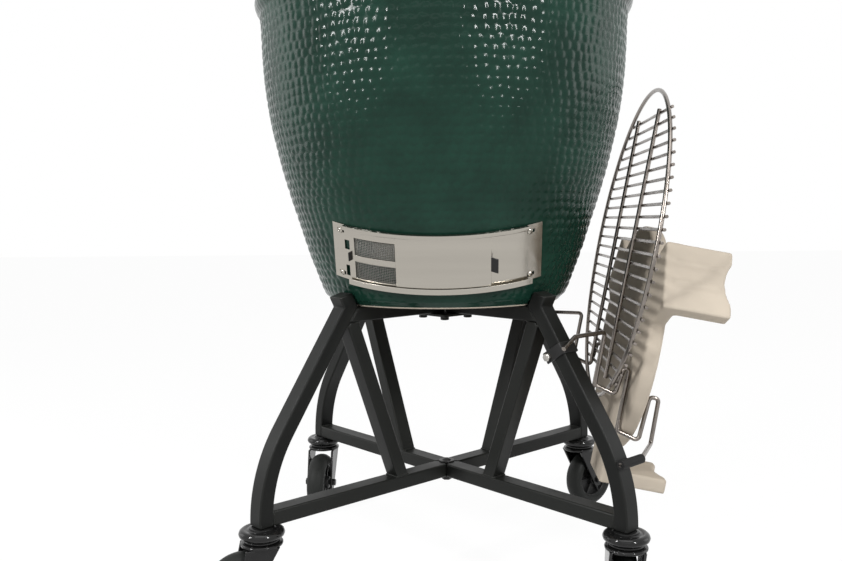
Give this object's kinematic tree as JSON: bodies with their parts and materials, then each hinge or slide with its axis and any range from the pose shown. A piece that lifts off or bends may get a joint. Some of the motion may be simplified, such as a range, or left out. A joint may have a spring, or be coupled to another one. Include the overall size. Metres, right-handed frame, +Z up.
{
  "type": "ceramic charcoal grill on a wheeled stand",
  "caption": "Lidded ceramic charcoal grill with a dimpled glaze, in a wheeled tube stand with a side rack that holds its cooking grid and heat deflector.",
  "frame": {"origin": "middle of the footprint, on the floor under the casters", "axes": "+Z up, front with the air vent at -Y, side rack at +X"},
  "size_m": [0.6944, 0.7154, 1.2408],
  "materials": {
    "black_steel": "black zinc",
    "cast_iron": "black, slightly rough",
    "caster_metal": "gloss black",
    "caster_tyre": "black rubber tread on a black hub",
    "dial": "black dial in a black case",
    "felt": "dense grey felt",
    "galvanised": "zinc plated",
    "glazed": "dark green glaze over ceramic, dimpled",
    "glazed_dome": "dark green glaze over ceramic, dimpled",
    "needle": "red",
    "powder_coat": "satin black powder coat",
    "rack_steel": "drawn stainless wire",
    "raw_ceramic": "bare fired ceramic, cream",
    "screen_mesh": "fine woven wire",
    "stainless": "bright sheet, lightly brushed",
    "wood": "oiled hardwood"
  },
  "bodies": {
    "stand": {"base_rail_front_left": "powder_coat", "base_rail_front_right": "powder_coat", "base_rail_rear_left": "powder_coat", "base_rail_rear_right": "powder_coat", "bowl": "glazed", "bowl_gasket": "felt", "caster_race_front_left": "caster_metal", "caster_race_front_right": "caster_metal", "caster_race_rear_left": "caster_metal", "caster_race_rear_right": "caster_metal", "centre_bolt": "black_steel", "centre_plate": "powder_coat", "fire_grate": "cast_iron", "fire_ring": "raw_ceramic", "firebox": "raw_ceramic", "hinge_lower_bracket": "powder_coat", "hinge_pin": "galvanised", "hinge_spring_left": "galvanised", "hinge_spring_right": "galvanised", "leg_front_left": "powder_coat", "leg_front_right": "powder_coat", "leg_rear_left": "powder_coat", "leg_rear_right": "powder_coat", "lower_band": "powder_coat", "rack_clamp_front": "black_steel", "rack_clamp_rear": "black_steel", "rack_wire_front": "rack_steel", "rack_wire_rear": "rack_steel", "strut_front_left": "powder_coat", "strut_front_right": "powder_coat", "strut_rear_left": "powder_coat", "strut_rear_right": "powder_coat", "top_arm_front_left": "powder_coat", "top_arm_front_right": "powder_coat", "top_arm_rear_left": "powder_coat", "top_arm_rear_right": "powder_coat", "vent_frame": "stainless"},
    "lid": {"dome": "glazed_dome", "dome_gasket": "felt", "upper_band": "powder_coat", "hinge_upper_bracket": "powder_coat", "handle_bar": "wood", "thermometer_case": "dial", "damper_base": "cast_iron"},
    "dial_needle": {"thermometer_needle": "needle"},
    "damper_lid": {"damper_cover": "cast_iron"},
    "draught_wheel": {"damper_wheel": "cast_iron"},
    "air_door": {"vent_door": "stainless"},
    "screen_slider": {"screen_door": "stainless", "screen_mesh": "screen_mesh"},
    "grid": {"cooking_grid": "rack_steel"},
    "deflector": {"heat_deflector": "raw_ceramic"},
    "swivel_front_left": {"caster_fork_front_left": "caster_metal"},
    "wheel_front_left": {"caster_wheel_front_left": "caster_tyre"},
    "swivel_front_right": {"caster_fork_front_right": "caster_metal"},
    "wheel_front_right": {"caster_wheel_front_right": "caster_tyre"},
    "swivel_rear_right": {"caster_fork_rear_right": "caster_metal"},
    "wheel_rear_right": {"caster_wheel_rear_right": "caster_tyre"},
    "swivel_rear_left": {"caster_fork_rear_left": "caster_metal"},
    "wheel_rear_left": {"caster_wheel_rear_left": "caster_tyre"}
  },
  "joints": [
    {"name": "lid_hinge", "type": "hinge", "parent": "stand", "child": "lid", "pos_m": [-0.04371, 0.34575, 0.87625], "axis": [-1, 0, 0], "range_deg": [0, 68]},
    {"name": "air_door_slide", "type": "hinge", "parent": "stand", "child": "air_door", "pos_m": [-0.04371, 0.01225, 0.5399], "axis": [0, -0.342, 0.9397], "range_deg": [-16.5, 13]},
    {"name": "screen_slide", "type": "hinge", "parent": "stand", "child": "screen_slider", "pos_m": [-0.04371, 0.01225, 0.5399], "axis": [0, -0.342, 0.9397], "range_deg": [0, 17]},
    {"name": "damper_swing", "type": "hinge", "parent": "lid", "child": "damper_lid", "pos_m": [-0.04371, 0.07125, 1.2235], "axis": [0, 0, 1], "range_deg": [0, 115]},
    {"name": "draught_turn", "type": "hinge", "parent": "damper_lid", "child": "draught_wheel", "pos_m": [-0.04371, 0.01225, 1.2235], "axis": [0, 0, 1], "range_deg": [-36, 36]},
    {"name": "dial_needle_turn", "type": "hinge", "parent": "lid", "child": "dial_needle", "pos_m": [-0.04371, -0.24427, 0.99734], "axis": [0, -0.9714, 0.2375], "range_deg": [-270, 0]},
    {"name": "grid_lift", "type": "slide", "parent": "stand", "child": "grid", "axis": [0.1891, 0, 0.982], "range_m": [0, 0.24]},
    {"name": "deflector_lift", "type": "slide", "parent": "stand", "child": "deflector", "axis": [0.1891, 0, 0.982], "range_m": [0, 0.2]},
    {"name": "swivel_front_left_turn", "type": "hinge", "parent": "stand", "child": "swivel_front_left", "pos_m": [-0.27621, -0.22025, 0.11], "axis": [0, 0, 1], "continuous": true},
    {"name": "wheel_front_left_roll", "type": "hinge", "parent": "swivel_front_left", "child": "wheel_front_left", "pos_m": [-0.29977, -0.23123, 0.05], "axis": [0.4226, -0.9063, 0], "continuous": true},
    {"name": "swivel_front_right_turn", "type": "hinge", "parent": "stand", "child": "swivel_front_right", "pos_m": [0.18879, -0.22025, 0.11], "axis": [0, 0, 1], "continuous": true},
    {"name": "wheel_front_right_roll", "type": "hinge", "parent": "swivel_front_right", "child": "wheel_front_right", "pos_m": [0.18969, -0.19426, 0.05], "axis": [-0.9994, 0.0349, 0], "continuous": true},
    {"name": "swivel_rear_right_turn", "type": "hinge", "parent": "stand", "child": "swivel_rear_right", "pos_m": [0.18879, 0.24475, 0.11], "axis": [0, 0, 1], "continuous": true},
    {"name": "wheel_rear_right_roll", "type": "hinge", "parent": "swivel_rear_right", "child": "wheel_rear_right", "pos_m": [0.2087, 0.26146, 0.05], "axis": [-0.6428, 0.766, 0], "continuous": true},
    {"name": "swivel_rear_left_turn", "type": "hinge", "parent": "stand", "child": "swivel_rear_left", "pos_m": [-0.27621, 0.24475, 0.11], "axis": [0, 0, 1], "continuous": true},
    {"name": "wheel_rear_left_roll", "type": "hinge", "parent": "swivel_rear_left", "child": "wheel_rear_left", "pos_m": [-0.27847, 0.21885, 0.05], "axis": [0.9962, -0.0872, 0], "continuous": true}
  ]
}
